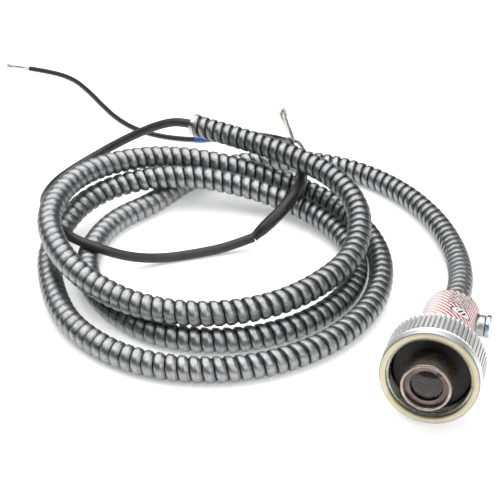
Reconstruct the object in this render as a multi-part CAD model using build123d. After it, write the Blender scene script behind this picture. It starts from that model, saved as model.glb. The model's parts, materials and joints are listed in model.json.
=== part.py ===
"""Optical flame sensor probe on a flexible steel conduit, in millimetres, +Z up.

The head lies on the ground plane, nose towards -Y, leaning back on the rim of its coupling collar.
The origin is on the ground, under the middle of the head. Head pieces are drawn about the Y axis,
with y = 0 at the collar's front face and +y towards the conduit, and are then laid down by HEAD.
"""
from build123d import *
import os
from math import atan, cos, pi, radians, sin, tan

# ---- driving sizes, mm ----
HEAD_TILT = 6.0            # degrees that the nose points up
RUNNING_GAP = 0.05         # radial clearance of a turning or sliding fit
FREE_GAP = 0.3             # space between pieces that must not touch while they move
SEAT_GAP = 0.05            # space round a piece that sits still in a bore
LOOSE_GAP = 0.2            # space round a piece that is pushed in by hand

# coupling collar, a nut with a pipe thread that slides and spins on the body
COLLAR_FRONT_R = 24.35
KNURL_R = 24.75
KNURL_DEPTH = 0.8
KNURL_TEETH = 64
KNURL_START = 5.5
KNURL_BACK_LAND = 3.0      # plain band behind the knurl
COLLAR_BACK_R = 23.6
COLLAR_CHAMFER = 0.8
THREAD_MINOR_R = 19.475    # bore of a 1 1/4 inch pipe thread, left plain
MOUTH_R = 21.3
WEB_THICKNESS = 5.0
COLLAR_TRAVEL = 5.5        # how far the collar slides forward before it pulls on the flange

# nose barrel and optics
NOSE_PROUD = 9.5           # how far the nose stands out of the collar's face
NOSE_R = 12.2
NOSE_LIP = 1.2
LENS_R = 9.2
LENS_RECESS = 2.4          # from the lip to the retaining ring
LENS_EDGE = 1.6
LENS_LAND = 1.6            # flat rim outside the dome
LENS_CURVE_R = 24.0
LENS_RING_WIDTH = 2.0
LENS_RING_THICKNESS = 1.1
LENS_SEAL_THICKNESS = 0.9
LENS_GAP = 0.1             # radial space round the lens
RING_GROOVE = 0.5          # depth of the retaining ring's groove below the lens
NOSE_BORE_R = 8.2
SPIGOT_R = 11.8            # the barrel behind its shoulder, in the gasket, flange and housing
NOSE_SPIGOT = 11.5         # length of barrel inside the housing

# flange and gasket that the collar pulls against the sight pipe
FLANGE_FRONT = 9.0
FLANGE_THICKNESS = 3.5
FLANGE_R = 18.9
GASKET_THICKNESS = 1.6
GASKET_R = 18.6
SLIP_RING_THICKNESS = 1.2
SLIP_RING_R = 18.8

# housing
BODY_R = 14.7
BODY_END = 72.0
BODY_CHAMFER = 1.2
STOP_RING_R = 16.3
STOP_RING_THICKNESS = 1.2
STOP_RING_GROOVE = 0.6
CHAMBER_R = 10.0
SOCKET_BACK = 36.0         # shoulder behind the cell socket
CHAMBER_BACK = 52.0
LABEL_THICKNESS = 0.2
LABEL_START = 26.6
LABEL_END = 69.4
LABEL_FROM = 24.0          # degrees above the clamp screw's side
LABEL_TO = 190.0

# detector cell and its socket
CELL_R = 4.2
CELL_FRONT = 16.0
CELL_LENGTH = 6.0
CELL_RIM_R = 4.8
CELL_RIM_THICKNESS = 0.8
PIN_R = 0.5
PIN_LENGTH = 7.0
PIN_SPACING = 5.0
CONTACT_WALL = 0.5
CONTACT_END = 36.0
SOCKET_FRONT = 24.2
SOCKET_THICKNESS = 8.8
SOCKET_BOSS_R = 6.0
SLEEVE_FRONT = 5.0
SLEEVE_BACK = 21.6
SLEEVE_WALL = 1.6
APERTURE_R = 3.0
APERTURE_THICKNESS = 1.0
SPRING_R = 11.8
SPRING_BORE_R = 7.2
SPRING_THICKNESS = 0.7

# clamp that grips the conduit
CLAMP_Y = 64.0
BOSS_R = 5.6
BOSS_FACE = 18.2
SADDLE_THICKNESS = 2.2
SADDLE_LENGTH = 7.4
SADDLE_HEIGHT = 7.8
CLAMP_TRAVEL = 1.6
SCREW_R = 3.0
SCREW_TIP_R = 1.6
SCREW_TIP_LENGTH = 1.4
SCREW_HEAD_R = 6.1
SCREW_HEAD_THICKNESS = 2.4
SCREW_SLOT = 1.3
SCREW_SLOT_DEPTH = 1.1

# conduit, cable and leads
CONDUIT_R = 7.0
CONDUIT_START = 56.0       # its cut end inside the housing
LEAD_STRAIGHT = 34.0       # straight along the head's axis from there
BUSHING_FLANGE_R = 9.4
BUSHING_FLANGE = 1.5
CABLE_R = 2.5
CABLE_START = 40.0
FERRULE_FRONT = 42.0
FERRULE_LENGTH = 6.0
FERRULE_WALL = 0.8
CORE_R = 0.6
CORE_SPACING = 2.4         # between the two cores where they leave the cable
TAG_SIZE = (1.6, 3.2, 0.4)
END_BUSHING_WALL = 0.5
END_BUSHING_LENGTH = 6.0
END_BUSHING_FACE = 1.0
SHRINK_R = 3.3
WIRE_R = 1.45
MARKER_R = 1.9
MARKER_LENGTH = 10.0
CORE_INSULATION_R = 1.05
CORE_INSULATION_LENGTH = 4.0
STRAND_R = 0.7
STRAND_LENGTH = 15.0
PIGTAIL_R = 1.1

# the loose coil: its outer shape as a ring, given as centre, then half-widths along x and y
COIL_OUTER = ((-146.0, 70.0), (111.0, 116.0))
COIL_INNER = ((-136.0, 72.0), (63.0, 66.0))
COIL_HEIGHT = 34.0

# routes of the stretches that lie free; the first points come from the piece that they leave
LEAD_ROUTE = [(-2.5, 92, 12.5), (-12, 128, 8), (-29, 162, 7), (-55, 192, 7), (-90, 213, 7),
              (-129, 217, 7), (-164, 202, 7), (-187, 172, 7), (-197, 136, 7)]
TAIL_ROUTE = [(-61, 92, 25), (-67, 122, 29.5), (-86, 147, 33.5), (-114, 164, 35), (-148, 177, 36),
              (-188, 189, 36)]
CABLE_ROUTE = [(-199, 192.3, 36), (-213, 194, 31.5), (-228, 194, 23.5), (-243, 191, 15), (-256, 184, 7.5),
               (-266, 171, 2.8), (-270, 152, 2.6), (-267, 130, 5.5), (-259, 109, 12), (-249, 91, 16),
               (-237, 75, 17.6), (-222, 63, 17.6), (-204, 60, 15), (-188, 67, 8), (-173, 79, 3),
               (-156, 90, 2.6), (-140, 101.5, 3.2), (-127, 109, 8)]
SHRINK_ROUTE = [(-127, 109, 8), (-117, 118, 17), (-111, 132, 23), (-110, 149, 23), (-113, 166, 21.5),
                (-116, 178, 21)]
WIRE_ROUTE = [(-117.3, 178, 21), (-123, 195, 19.6), (-130, 211, 18), (-136, 227, 15.6), (-143, 243, 7),
              (-154, 256, 1.7), (-169, 257, 1.8), (-184, 246, 2), (-202, 237, 2), (-224, 235, 1.7),
              (-246, 240, 1.5), (-266, 253, 1.5), (-284, 271, 1.5), (-303, 292, 1.5), (-322, 310, 1.5),
              (-342, 318.5, 1.5), (-362, 320, 1.5)]
PIGTAIL_ROUTE = [(-114.4, 178, 21), (-116, 193, 20), (-119, 208, 18.6), (-123, 225, 15.8), (-129, 242, 7.5),
                 (-138, 260, 1.6), (-149, 277, 1.2), (-158, 296, 1.2)]
MARKER_RUN = 8             # the marker sleeve sits in the middle of this run of the wire

# ---- sizes that follow ----
TILT = radians(HEAD_TILT)
WEB_BORE_R = BODY_R + LABEL_THICKNESS + FREE_GAP
RING_FRONT = LENS_RECESS - NOSE_PROUD
LENS_FRONT = RING_FRONT + LENS_RING_THICKNESS
LENS_BACK = LENS_FRONT + LENS_EDGE
LENS_SEAT = LENS_BACK + LENS_SEAL_THICKNESS
HOUSING_FRONT = FLANGE_FRONT + FLANGE_THICKNESS
WEB_FRONT = HOUSING_FRONT + COLLAR_TRAVEL + FREE_GAP + SLIP_RING_THICKNESS + RUNNING_GAP
COLLAR_LENGTH = WEB_FRONT + WEB_THICKNESS
KNURL_END = COLLAR_LENGTH - KNURL_BACK_LAND
NOSE_END = HOUSING_FRONT + NOSE_SPIGOT
NOSE_SHOULDER = FLANGE_FRONT - GASKET_THICKNESS - SEAT_GAP
SPIGOT_BORE_R = SPIGOT_R + SEAT_GAP
CONDUIT_BORE_R = CONDUIT_R + LOOSE_GAP
STOP_RING_FRONT = COLLAR_LENGTH + LOOSE_GAP
LENS_BORE_R = LENS_R + LENS_GAP
SADDLE_FACE = CONDUIT_R + FREE_GAP
SADDLE_BACK = SADDLE_FACE + SADDLE_THICKNESS
POCKET_BACK = SADDLE_BACK + CLAMP_TRAVEL + FREE_GAP
CABLE_HOLE_R = CABLE_R + LOOSE_GAP
COLLAR_OUTLINE = [(0, COLLAR_FRONT_R - COLLAR_CHAMFER), (COLLAR_CHAMFER, COLLAR_FRONT_R),
                  (KNURL_START, COLLAR_FRONT_R), (KNURL_START, KNURL_R - KNURL_DEPTH),
                  (KNURL_END, KNURL_R - KNURL_DEPTH), (KNURL_END, COLLAR_BACK_R),
                  (COLLAR_LENGTH - COLLAR_CHAMFER, COLLAR_BACK_R), (COLLAR_LENGTH, COLLAR_BACK_R - COLLAR_CHAMFER)]
HEAD_Z = max(r * cos(TILT) + y * sin(TILT) for y, r in COLLAR_OUTLINE + [(KNURL_END, KNURL_R)])


# ---- drawing helpers ----
def turned(*outline):
    """A solid of revolution about Y from (y, radius) corners."""
    face = make_face(Polyline(*[(r, y) for y, r in outline], close=True))
    return revolve(face, Axis.Y)


def ring(y0, y1, outer, inner):
    return turned((y0, inner), (y0, outer), (y1, outer), (y1, inner))


def disc(y0, y1, radius):
    return turned((y0, 0), (y0, radius), (y1, radius), (y1, 0))


def rod(start, end, radius):
    """A round bar from one point to another."""
    run = Vector(*end) - Vector(*start)
    return extrude(Plane(origin=start, z_dir=run) * Circle(radius), amount=run.length)


def cross_rod(x0, x1, y, radius):
    """A round bar along X through the head's axis."""
    return rod((x0, y, 0), (x1, y, 0), radius)


def corner_radii(points):
    """The largest arc that each corner's two runs allow: 0.45 of the shorter run over tan(half turn)."""
    corners = [Vector(*p) for p in points]
    radii = []
    for before, at, after in zip(corners, corners[1:], corners[2:]):
        turn = (at - before).get_angle(after - at)
        shorter = min((at - before).length, (after - at).length)
        radii.append(0.45 * shorter / tan(radians(turn) / 2))
    return radii


def tube(name, points, radius):
    """A cord's stretch: straight runs joined by tangent arcs, with its volume compared with section times length."""
    radii = corner_radii(points)
    path = FilletPolyline(*points, radius=radii)
    solid = sweep(Plane(origin=path @ 0, z_dir=path % 0) * Circle(radius), path=path)
    expected = pi * radius**2 * path.length
    print(f"{name}: length {path.length:.0f} mm, smallest arc {min(radii):.0f} mm"
          f" ({min(radii) / (2 * radius):.1f} diameters), volume {solid.volume / expected:.4f} of expected")
    print("   arcs:", " ".join(f"{r:.0f}" for r in radii))
    return solid


# ---- coupling collar ----
def coupling_collar():
    bore = [(COLLAR_LENGTH, WEB_BORE_R), (WEB_FRONT, WEB_BORE_R), (WEB_FRONT, THREAD_MINOR_R),
            (MOUTH_R - THREAD_MINOR_R, THREAD_MINOR_R), (0, MOUTH_R)]
    blank = turned(*COLLAR_OUTLINE, *bore)
    step = 360 / KNURL_TEETH
    corners = []
    for tooth in range(KNURL_TEETH):
        for part, radius in ((0.0, KNURL_R - KNURL_DEPTH), (0.2, KNURL_R), (0.6, KNURL_R), (0.8, KNURL_R - KNURL_DEPTH)):
            angle = radians((tooth + part) * step)
            corners.append((radius * cos(angle), radius * sin(angle)))
    front = Plane(origin=(0, KNURL_START, 0), z_dir=(0, 1, 0))
    knurl = make_face(front * Polyline(*corners, close=True)) - front * Circle(KNURL_R - 2 * KNURL_DEPTH)
    return blank + extrude(knurl, amount=KNURL_END - KNURL_START, dir=(0, 1, 0))


def slip_ring():
    back = WEB_FRONT - RUNNING_GAP
    return ring(back - SLIP_RING_THICKNESS, back, SLIP_RING_R, WEB_BORE_R)


def collar_stop_ring():
    return ring(STOP_RING_FRONT, STOP_RING_FRONT + STOP_RING_THICKNESS, STOP_RING_R, BODY_R - STOP_RING_GROOVE)


# ---- nose and optics ----
def nose_barrel():
    front, groove = -NOSE_PROUD, LENS_R + RING_GROOVE
    shell = turned((front, LENS_BORE_R), (front, NOSE_R), (NOSE_SHOULDER, NOSE_R), (NOSE_SHOULDER, SPIGOT_R),
                   (NOSE_END, SPIGOT_R), (NOSE_END, NOSE_BORE_R),
                   (LENS_SEAT, NOSE_BORE_R), (LENS_SEAT, LENS_BORE_R), (LENS_FRONT, LENS_BORE_R),
                   (LENS_FRONT, groove), (RING_FRONT, groove), (RING_FRONT, LENS_BORE_R))
    lip = shell.edges().filter_by(GeomType.CIRCLE).group_by(Axis.Y)[0]
    return fillet(lip, min(NOSE_LIP, 0.45 * (NOSE_R - LENS_R)))


def lens_retaining_ring():
    outer = LENS_R + RING_GROOVE - SEAT_GAP
    return ring(RING_FRONT, LENS_FRONT, outer, outer - LENS_RING_WIDTH)


def lens():
    dome_r = LENS_R - LENS_LAND
    centre = LENS_FRONT - dome_sag(dome_r) + LENS_CURVE_R
    blank = ring(LENS_FRONT, LENS_BACK, LENS_R, dome_r - 0.5)
    core = disc(LENS_FRONT - dome_sag(dome_r), LENS_BACK, dome_r)
    ball = Pos(0, centre, 0) * Sphere(LENS_CURVE_R)
    return blank + (core & ball)


def dome_sag(radius):
    return LENS_CURVE_R - (LENS_CURVE_R**2 - radius**2) ** 0.5


def lens_seal():
    return ring(LENS_BACK, LENS_SEAT, LENS_R, NOSE_BORE_R)


def aperture_disc():
    return ring(SLEEVE_FRONT - APERTURE_THICKNESS, SLEEVE_FRONT, NOSE_BORE_R - SEAT_GAP, APERTURE_R)


def insulating_sleeve():
    outer = NOSE_BORE_R - SEAT_GAP
    return ring(SLEEVE_FRONT, SLEEVE_BACK, outer, outer - SLEEVE_WALL)


# ---- flange, gasket, housing ----
def mounting_flange():
    return ring(FLANGE_FRONT, HOUSING_FRONT, FLANGE_R, SPIGOT_BORE_R)


def face_gasket():
    return ring(FLANGE_FRONT - GASKET_THICKNESS, FLANGE_FRONT, GASKET_R, SPIGOT_BORE_R)


def body_housing():
    groove = BODY_R - STOP_RING_GROOVE
    back = STOP_RING_FRONT + STOP_RING_THICKNESS
    shell = turned((HOUSING_FRONT, SPIGOT_BORE_R), (HOUSING_FRONT, BODY_R), (STOP_RING_FRONT, BODY_R),
                   (STOP_RING_FRONT, groove), (back, groove), (back, BODY_R), (BODY_END - BODY_CHAMFER, BODY_R),
                   (BODY_END, BODY_R - BODY_CHAMFER), (BODY_END, CONDUIT_BORE_R), (CHAMBER_BACK, CONDUIT_BORE_R),
                   (CHAMBER_BACK, CHAMBER_R), (SOCKET_BACK, CHAMBER_R), (SOCKET_BACK, SPIGOT_BORE_R))
    boss = cross_rod(CHAMBER_R, BOSS_FACE, CLAMP_Y, BOSS_R)
    pocket_x = POCKET_BACK - CONDUIT_R / 2
    pocket = Pos(POCKET_BACK - pocket_x / 2, CLAMP_Y, 0) * Box(
        pocket_x, SADDLE_LENGTH + 2 * FREE_GAP, SADDLE_HEIGHT + 2 * FREE_GAP)
    screw_hole = cross_rod(CONDUIT_R, BOSS_FACE + 1, CLAMP_Y, SCREW_R + RUNNING_GAP)
    return shell + boss - pocket - screw_hole


def body_label():
    """A printed wrap over the top of the housing, stopping short of the clamp boss."""
    outer = BODY_R + LABEL_THICKNESS
    back = Plane(origin=(0, LABEL_END, 0), x_dir=(1, 0, 0), z_dir=(0, -1, 0))
    arc_out = CenterArc((0, 0), outer, LABEL_FROM, LABEL_TO - LABEL_FROM)
    arc_in = CenterArc((0, 0), BODY_R, LABEL_FROM, LABEL_TO - LABEL_FROM)
    outline = arc_out + arc_in + Line(arc_in @ 0, arc_out @ 0) + Line(arc_in @ 1, arc_out @ 1)
    return extrude(back * make_face(outline), amount=LABEL_END - LABEL_START, dir=(0, -1, 0))


# ---- detector cell ----
def photocell():
    back = CELL_FRONT + CELL_LENGTH
    rim = back - CELL_RIM_THICKNESS
    return turned((CELL_FRONT, 0), (CELL_FRONT, CELL_R), (rim, CELL_R), (rim, CELL_RIM_R), (back, CELL_RIM_R), (back, 0))


def both_sides(piece):
    """The same piece at each of the two pin places."""
    return [Pos(side * PIN_SPACING / 2, 0, 0) * piece for side in (-1, 1)]


def cell_pins():
    start = CELL_FRONT + CELL_LENGTH
    return Compound(both_sides(disc(start, start + PIN_LENGTH, PIN_R)))


def contact_sleeves():
    inner = PIN_R + SEAT_GAP
    start = CELL_FRONT + CELL_LENGTH + 1
    return Compound(both_sides(ring(start, CONTACT_END, inner + CONTACT_WALL, inner)))


def cell_socket():
    start = CELL_FRONT + CELL_LENGTH
    back = SOCKET_FRONT + SOCKET_THICKNESS
    block = turned((start, 0), (start, SOCKET_BOSS_R), (SOCKET_FRONT, SOCKET_BOSS_R), (SOCKET_FRONT, SPIGOT_R),
                   (back, SPIGOT_R), (back, 0))
    hole = disc(start - 1, back + 1, PIN_R + 2 * SEAT_GAP + CONTACT_WALL)
    for cut in both_sides(hole):
        block -= cut
    return block


def spring_washer():
    """A coned disc spring that holds the socket against the nose barrel."""
    front, back = SOCKET_FRONT + SOCKET_THICKNESS, SOCKET_BACK
    return turned((front, SPRING_BORE_R), (front + SPRING_THICKNESS, SPRING_BORE_R), (back, SPRING_R),
                  (back - SPRING_THICKNESS, SPRING_R))


def solder_tags():
    width, length, thickness = TAG_SIZE
    return Compound(both_sides(Pos(0, CONTACT_END + length / 2, 0) * Box(width, length, thickness)))


def core_leads():
    tag_end = CONTACT_END + TAG_SIZE[1]
    height = TAG_SIZE[2] / 2 + CORE_R
    leads = []
    for side in (-1, 1):
        soldered = (side * PIN_SPACING / 2, tag_end - 1, height)
        at_cable = (side * CORE_SPACING / 2, CABLE_START - CORE_R / 2, height)
        leads.append(rod(soldered, at_cable, CORE_R))
    return Compound(leads)


def head_cable():
    return disc(CABLE_START, CONDUIT_START, CABLE_R)


def cable_ferrule():
    return ring(FERRULE_FRONT, FERRULE_FRONT + FERRULE_LENGTH, CABLE_R + FERRULE_WALL, CABLE_R)


def conduit_bushing():
    front = CHAMBER_BACK - BUSHING_FLANGE
    return turned((front, CABLE_HOLE_R), (front, BUSHING_FLANGE_R), (CHAMBER_BACK, BUSHING_FLANGE_R),
                  (CHAMBER_BACK, CONDUIT_R), (CONDUIT_START, CONDUIT_R), (CONDUIT_START, CABLE_HOLE_R))


# ---- conduit clamp ----
def clamp_saddle():
    block = Pos((SADDLE_FACE + SADDLE_BACK) / 2 - 1, CLAMP_Y, 0) * Box(
        SADDLE_THICKNESS + 2, SADDLE_LENGTH, SADDLE_HEIGHT)
    groove = disc(CLAMP_Y - SADDLE_LENGTH, CLAMP_Y + SADDLE_LENGTH, SADDLE_FACE)
    recess = cross_rod(SADDLE_BACK - SCREW_TIP_LENGTH, SADDLE_BACK + 1, CLAMP_Y, SCREW_TIP_R + RUNNING_GAP)
    return block - groove - recess


def clamp_screw():
    shoulder = SADDLE_BACK + LOOSE_GAP
    under = BOSS_FACE + FREE_GAP
    top = under + SCREW_HEAD_THICKNESS
    tip = cross_rod(shoulder - SCREW_TIP_LENGTH, shoulder, CLAMP_Y, SCREW_TIP_R)
    shank = cross_rod(shoulder, under, CLAMP_Y, SCREW_R)
    head = cross_rod(under, top, CLAMP_Y, SCREW_HEAD_R)
    rim = head.edges().group_by(Axis.X)[-1]
    head = fillet(rim, 0.3 * SCREW_HEAD_THICKNESS)
    slot = Pos(top, CLAMP_Y, 0) * Box(2 * SCREW_SLOT_DEPTH, SCREW_SLOT, 3 * SCREW_HEAD_R)
    return tip + shank + head - slot


HEAD_PIECES = [coupling_collar, slip_ring, collar_stop_ring, nose_barrel, lens_retaining_ring, lens, lens_seal,
               aperture_disc, insulating_sleeve, mounting_flange, face_gasket, body_housing, body_label, photocell,
               cell_pins, contact_sleeves, cell_socket, spring_washer, solder_tags, core_leads, head_cable,
               cable_ferrule, conduit_bushing, clamp_saddle, clamp_screw]


# ---- conduit, cable and leads ----
def conduit_coil():
    """The outer shape of the loose turns, as one ring."""
    (outer_at, outer), (inner_at, inner) = COIL_OUTER, COIL_INNER
    outline = Pos(*outer_at) * Ellipse(*outer) - Pos(*inner_at) * Ellipse(*inner)
    return extrude(outline, amount=COIL_HEIGHT)


def along(route, start, length, radius, inner=0.0, run=-1):
    """A round piece of this length on a route's run, from a distance past the run's first point."""
    first, last = Vector(*route[run - 1]), Vector(*route[run])
    place = Plane(origin=first + (last - first).normalized() * start, z_dir=last - first)
    section = place * Circle(radius)
    if inner:
        section -= place * Circle(inner)
    return extrude(section, amount=length)


def run_length(route, run=-1):
    return (Vector(*route[run]) - Vector(*route[run - 1])).length


def conduit_end_bushing():
    end = run_length(TAIL_ROUTE)
    sleeve = along(TAIL_ROUTE, end - END_BUSHING_LENGTH, END_BUSHING_LENGTH, CONDUIT_R + END_BUSHING_WALL, CONDUIT_R)
    face = along(TAIL_ROUTE, end, END_BUSHING_FACE, CONDUIT_R + END_BUSHING_WALL, CABLE_HOLE_R)
    return sleeve + face


def free_pieces(head):
    """The conduit past its clamp, the cable and leads that leave its far end, and what is on them."""
    def on_axis(y):
        return tuple((head * Location((0, y, 0))).position)

    lead = [on_axis(CONDUIT_START), on_axis(CONDUIT_START + LEAD_STRAIGHT)] + LEAD_ROUTE
    marker_start = (run_length(WIRE_ROUTE, MARKER_RUN) - MARKER_LENGTH) / 2
    wire_end = run_length(WIRE_ROUTE)
    return {
        "conduit_lead": tube("conduit_lead", lead, CONDUIT_R),
        "conduit_coil": conduit_coil(),
        "conduit_tail": tube("conduit_tail", TAIL_ROUTE, CONDUIT_R),
        "conduit_end_bushing": conduit_end_bushing(),
        "signal_cable": tube("signal_cable", [TAIL_ROUTE[-1]] + CABLE_ROUTE, CABLE_R),
        "heat_shrink_sleeve": tube("heat_shrink_sleeve", SHRINK_ROUTE, SHRINK_R),
        "lead_wire": tube("lead_wire", WIRE_ROUTE, WIRE_R),
        "marker_sleeve": along(WIRE_ROUTE, marker_start, MARKER_LENGTH, MARKER_R, run=MARKER_RUN),
        "core_insulation": along(WIRE_ROUTE, wire_end, CORE_INSULATION_LENGTH, CORE_INSULATION_R),
        "bare_conductor": along(WIRE_ROUTE, wire_end + CORE_INSULATION_LENGTH, STRAND_LENGTH, STRAND_R),
        "shield_pigtail": tube("shield_pigtail", PIGTAIL_ROUTE, PIGTAIL_R),
    }


# ---- build, lay the head down and write one file per piece ----
os.makedirs("parts", exist_ok=True)
drawn = {make.__name__: make() for make in HEAD_PIECES}
laid = Location((0, 0, HEAD_Z), (-HEAD_TILT, 0, 0))
span = Compound([laid * piece for piece in drawn.values()]).bounding_box()
HEAD = Location((-span.center().X, -span.center().Y, 0)) * laid
pieces = {name: HEAD * piece for name, piece in drawn.items()}
pieces.update(free_pieces(HEAD))
for name, piece in pieces.items():
    export_step(piece, f"parts/{name}.step")

print("collar face centre:", HEAD.position)
for label, y in (("nose mount", -NOSE_PROUD / 2), ("conduit leaves", BODY_END), ("clamp screw", CLAMP_Y)):
    print(label, (HEAD * Location((0, y, 0))).position)
print(len(pieces), "pieces")
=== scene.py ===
"""Optical flame sensor probe: the finished look of each visible piece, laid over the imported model.

Head pieces are drawn in millimetres about the Y axis, with y = 0 at the coupling collar's front face
and +y towards the conduit, and are then laid down by HEAD. Cord pieces follow their routes on the ground.
"""
import json
from math import cos, pi, radians, sin, sqrt

import bmesh
import bpy
from mathutils import Matrix, Vector


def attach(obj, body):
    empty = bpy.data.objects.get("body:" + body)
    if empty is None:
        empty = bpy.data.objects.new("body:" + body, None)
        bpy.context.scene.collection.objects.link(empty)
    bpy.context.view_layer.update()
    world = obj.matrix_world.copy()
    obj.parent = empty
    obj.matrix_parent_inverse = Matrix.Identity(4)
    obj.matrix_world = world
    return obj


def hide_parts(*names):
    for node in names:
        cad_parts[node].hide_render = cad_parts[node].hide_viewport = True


bl_info = {
    "name": "Flame Sensor Probe",
    "version": (1, 0, 0),
    "blender": (4, 5, 0),
    "location": "View3D > Sidebar > Probe",
    "description": "Makes a flame sensor head on a loose coil of flexible steel conduit",
    "category": "Add Mesh",
}

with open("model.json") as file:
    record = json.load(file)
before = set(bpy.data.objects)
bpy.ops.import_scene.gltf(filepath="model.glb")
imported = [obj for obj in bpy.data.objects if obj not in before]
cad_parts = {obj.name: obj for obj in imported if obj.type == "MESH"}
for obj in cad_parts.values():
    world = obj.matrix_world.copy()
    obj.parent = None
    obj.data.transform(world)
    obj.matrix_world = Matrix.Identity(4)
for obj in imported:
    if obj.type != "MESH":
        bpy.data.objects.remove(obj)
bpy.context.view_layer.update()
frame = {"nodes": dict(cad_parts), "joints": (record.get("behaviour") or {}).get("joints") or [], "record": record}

MM = 0.001
SPIN = next(joint for joint in frame["joints"] if joint["name"] == "collar_spin")
AXIS = -Vector(SPIN["axis"]).normalized()
FACE = Vector(SPIN["pos_m"])
ACROSS = Vector((1, 0, 0))
HEAD = Matrix.Translation(FACE) @ Matrix((ACROSS, AXIS, ACROSS.cross(AXIS))).transposed().to_4x4()
HEAD_MM = HEAD @ Matrix.Scale(MM, 4)

# ---- head sizes in mm, as y along the axis and radius about it ----
COLLAR_LENGTH = 24.55
COLLAR_R = 24.35
KNURL_R = 24.75
KNURL_START, KNURL_END = 5.5, 21.55
COLLAR_BACK_R = 23.6
THREAD_ROOT_R, THREAD_CREST_R = 20.95, 19.5
THREAD_PITCH = 25.4 / 11
WEB_FRONT = 19.55
WEB_BORE_R = 15.2
NOSE_PROUD = 9.5
NOSE_R, SPIGOT_R, NOSE_BORE_R = 12.2, 11.8, 8.2
NOSE_SHOULDER, NOSE_END = 7.35, 24.0
LIP_BORE_R, LENS_BORE_R, LENS_R = 10.7, 9.3, 9.2
RING_FRONT, RING_BACK = -7.1, -6.0
LENS_BACK = -4.4
LENS_SEAT = -3.5
BODY_R, BODY_START, BODY_END = 14.7, 12.5, 72.0
CONDUIT_BORE_R = 7.2
CLAMP_Y, BOSS_R, BOSS_FACE = 64.0, 5.6, 18.2
SCREW_HEAD_R, SCREW_UNDER, SCREW_TOP = 6.1, 18.5, 20.9
LABEL_START, LABEL_END, LABEL_FROM, LABEL_TO = 26.6, 69.4, 24.0, 190.0
SNAP_RING_INNER, SNAP_RING_OUTER = 7.9, 10.6
THREAD_START, THREAD_LENGTH = 1.3, 16.5
END_BUSHING_R, END_BUSHING_BORE, END_BUSHING_HOLE = 7.15, 6.2, 2.75
MARKER_DIAMETER, CORE_DIAMETER = 4.1, 2.1
CAMERA_WAY = (-0.2416, 0.8316, -0.5)

# ---- routes in mm, on the ground at z = 0 ----
AXIS_RUN = [56.0, 90.0]     # where the conduit still lies on the head's axis
LEAD_ROUTE = [(-2.5, 92, 12.5), (-12, 128, 8), (-29, 162, 7), (-55, 192, 7), (-90, 213, 7),
              (-129, 217, 7), (-164, 202, 7), (-187, 172, 7), (-197, 136, 7)]
COIL_CENTRE = (-146.0, 66.0)
COIL_STEP = 30              # degrees between two points of a turn
COIL_FIRST, COIL_LAST = 150, 1080
# the loose turns as angle, radius and height, where they change
COIL_SHAPE = [(150, 79, 7), (195, 63, 7), (240, 63, 7), (285, 73, 7), (330, 81, 7), (375, 92, 7),
              (420, 94, 9), (450, 89, 17), (480, 93, 22.5), (510, 100, 18), (540, 92, 9), (570, 84, 7),
              (600, 90, 7), (645, 103, 7), (690, 103, 7), (735, 104.5, 7), (780, 112, 9), (810, 108, 18),
              (840, 106.5, 29.5), (870, 104, 33), (900, 93, 31), (930, 78, 27), (960, 69, 22),
              (1005, 68, 20.5), (1050, 74, 21), (1095, 88, 24)]
TAIL_ROUTE = [(-61, 92, 25), (-67, 122, 29.5), (-86, 147, 33.5), (-114, 164, 35), (-148, 177, 36),
              (-188, 189, 36)]
CABLE_ROUTE = [(-199, 192.3, 36), (-213, 194, 31.5), (-228, 194, 23.5), (-243, 191, 15), (-256, 184, 7.5),
               (-266, 171, 3.1), (-270, 152, 2.9), (-267, 130, 5.7), (-259, 109, 12), (-249, 91, 16),
               (-237, 75, 17.6), (-222, 63, 17.6), (-204, 60, 15), (-188, 67, 8), (-173, 79, 3),
               (-156, 90, 2.9), (-140, 101.5, 3.5), (-127, 109, 8)]
SHRINK_ROUTE = [(-127, 109, 8), (-117, 118, 17), (-111, 132, 23), (-110, 149, 23), (-113, 166, 21.5),
                (-116, 178, 21)]
WIRE_ROUTE = [(-117.3, 178, 21), (-123, 195, 19.6), (-130, 211, 18), (-136, 227, 15.6), (-143, 243, 7),
              (-154, 256, 1.7), (-169, 257, 1.8), (-184, 246, 2), (-202, 237, 2), (-224, 235, 1.7),
              (-246, 240, 1.5), (-266, 253, 1.5), (-284, 271, 1.5), (-303, 292, 1.5), (-322, 310, 1.5),
              (-342, 318.5, 1.5), (-362, 320, 1.5)]
PIGTAIL_ROUTE = [(-114.4, 178, 21), (-116, 193, 20), (-122, 208, 18.6), (-130, 225, 15.8), (-138, 242, 7.5),
                 (-143, 260, 1.6), (-152, 278, 2.2), (-160, 296, 2.8)]
MARKER_RUN = 8              # the run of the wire's route that carries the marker sleeve


# ---- meshes ----
def finished(name, mesh, place, material, smooth=40):
    """Makes the mesh an object at the origin, with its place in its vertices."""
    mesh.transform(place)
    mesh.materials.clear()
    mesh.materials.append(material)
    piece = bpy.data.objects.new(name, mesh)
    bpy.context.scene.collection.objects.link(piece)
    mesh.polygons.foreach_set("use_smooth", [True] * len(mesh.polygons))
    if smooth:
        mesh.set_sharp_from_angle(angle=radians(smooth))
    return piece


def rounded(outline, radius, steps=3):
    """Closed (y, r) corners, each cut by an arc of up to this radius; a corner may bring its own."""
    points = []
    for index, corner in enumerate(outline):
        at = Vector(corner[:2])
        before = Vector(outline[index - 1][:2]) - at
        after = Vector(outline[(index + 1) % len(outline)][:2]) - at
        wanted = corner[2] if len(corner) > 2 else radius
        reach = min(wanted, 0.45 * before.length, 0.45 * after.length)
        if reach < 1e-6:
            points.append(tuple(at))
            continue
        start, end = at + before.normalized() * reach, at + after.normalized() * reach
        for step in range(steps + 1):
            t = step / steps
            points.append(tuple((1 - t) ** 2 * start + 2 * t * (1 - t) * at + t**2 * end))
    return points


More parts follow.
